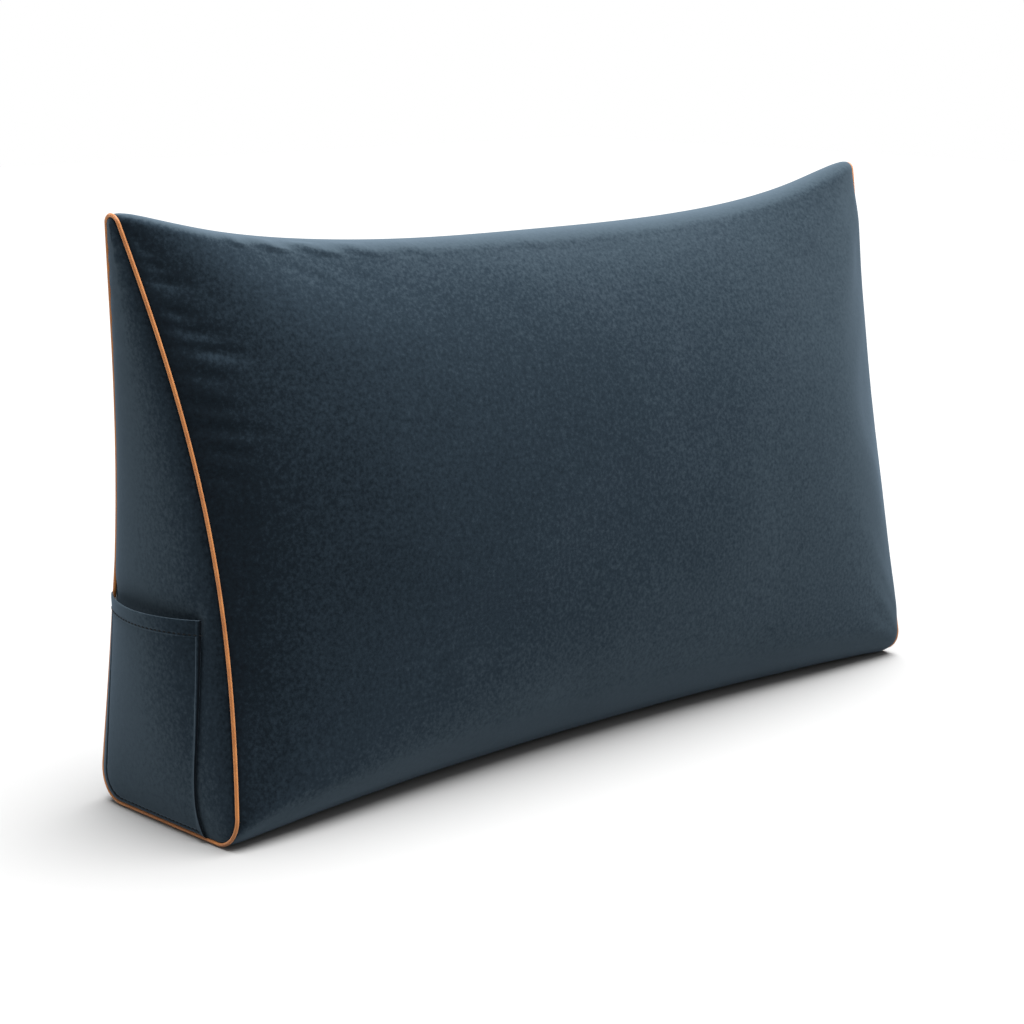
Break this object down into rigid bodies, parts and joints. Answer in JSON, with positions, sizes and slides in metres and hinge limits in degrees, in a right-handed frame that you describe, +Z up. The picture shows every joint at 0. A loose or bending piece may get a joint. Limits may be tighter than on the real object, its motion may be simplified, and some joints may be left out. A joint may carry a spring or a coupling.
{
  "type": "wedge back cushion",
  "caption": "Long wedge-shaped back cushion that stands on its flat base, with piped ends, drawn-in sides and a flat side pocket.",
  "frame": {"origin": "on the surface the cushion stands on, under the middle of its outer box", "axes": "+X along the length, towards the end without a pocket; -Y towards the front face; +Z up"},
  "size_m": [0.8996, 0.2006, 0.5],
  "materials": {
    "cloth": "dark blue brushed velvet",
    "piping": "tan satin bias cloth over cord"
  },
  "bodies": {
    "root": {"cushion_body": "cloth", "side_panel_left": "cloth", "side_panel_right": "cloth", "piping_left": "piping", "piping_right": "piping", "pocket_left": "cloth"}
  },
  "joints": []
}
